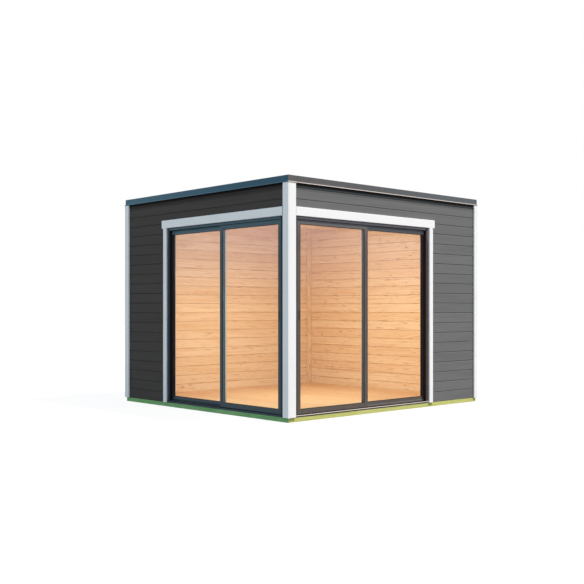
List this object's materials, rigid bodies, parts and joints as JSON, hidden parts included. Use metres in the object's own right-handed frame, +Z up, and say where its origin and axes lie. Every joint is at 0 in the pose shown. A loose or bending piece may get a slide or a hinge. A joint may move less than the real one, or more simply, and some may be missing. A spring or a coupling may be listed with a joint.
{
  "type": "flat-roofed log cabin with corner sliding doors",
  "caption": "Flat-roofed log cabin with sliding glass doors on both sides of one corner, white corner boards and a dark metal roof edge.",
  "frame": {"origin": "on the ground, under the middle of the cabin", "axes": "+Z up, the front door faces -Y and the right door faces +X, with the glazed corner at +X -Y"},
  "size_m": [3.01, 3.01, 2.418],
  "materials": {
    "treated_wood": "rough sawn, green pressure treated",
    "floor_wood": "planed, oiled",
    "grey_logs": "grey stain outside, natural spruce inside",
    "white_boards": "white paint, satin",
    "spruce": "planed, natural",
    "door_metal": "dark grey, matt powder coat",
    "pull_metal": "black, matt",
    "door_glass": "clear",
    "roof_membrane": "matt",
    "edge_trim": "anthracite grey, satin"
  },
  "bodies": {
    "cabin": {"foundation_beams": "treated_wood", "floor_joists": "treated_wood", "floor_boards": "floor_wood", "back_wall": "grey_logs", "left_wall": "grey_logs", "front_wall": "grey_logs", "right_wall": "grey_logs", "front_lintel": "grey_logs", "right_lintel": "grey_logs", "corner_post": "white_boards", "inner_corner_battens": "spruce", "corner_board_front_right": "white_boards", "corner_board_right_front": "white_boards", "corner_board_right_back": "white_boards", "corner_board_back_right": "white_boards", "corner_board_back_left": "white_boards", "corner_board_left_back": "white_boards", "corner_board_left_front": "white_boards", "corner_board_front_left": "white_boards", "front_header_board": "white_boards", "right_header_board": "white_boards", "front_jamb_board": "white_boards", "right_jamb_board": "white_boards", "front_door_frame": "door_metal", "front_fixed_panel": "door_metal", "front_fixed_glass": "door_glass", "right_door_frame": "door_metal", "right_fixed_panel": "door_metal", "right_fixed_glass": "door_glass", "roof_purlins": "spruce", "roof_boards": "spruce", "roof_edge_battens": "spruce", "roof_membrane": "roof_membrane", "edge_trim_front": "edge_trim", "edge_trim_back": "edge_trim", "edge_trim_left": "edge_trim", "edge_trim_right": "edge_trim"},
    "front_sliding_door": {"front_sliding_panel": "door_metal", "front_sliding_glass": "door_glass", "front_sliding_rollers": "door_metal", "front_door_pull": "pull_metal"},
    "right_sliding_door": {"right_sliding_panel": "door_metal", "right_sliding_glass": "door_glass", "right_sliding_rollers": "door_metal", "right_door_pull": "pull_metal"}
  },
  "joints": [
    {"name": "front_door_slide", "type": "slide", "parent": "cabin", "child": "front_sliding_door", "axis": [-1, 0, 0], "range_m": [0, 0.9]},
    {"name": "right_door_slide", "type": "slide", "parent": "cabin", "child": "right_sliding_door", "axis": [0, 1, 0], "range_m": [0, 0.9]}
  ]
}
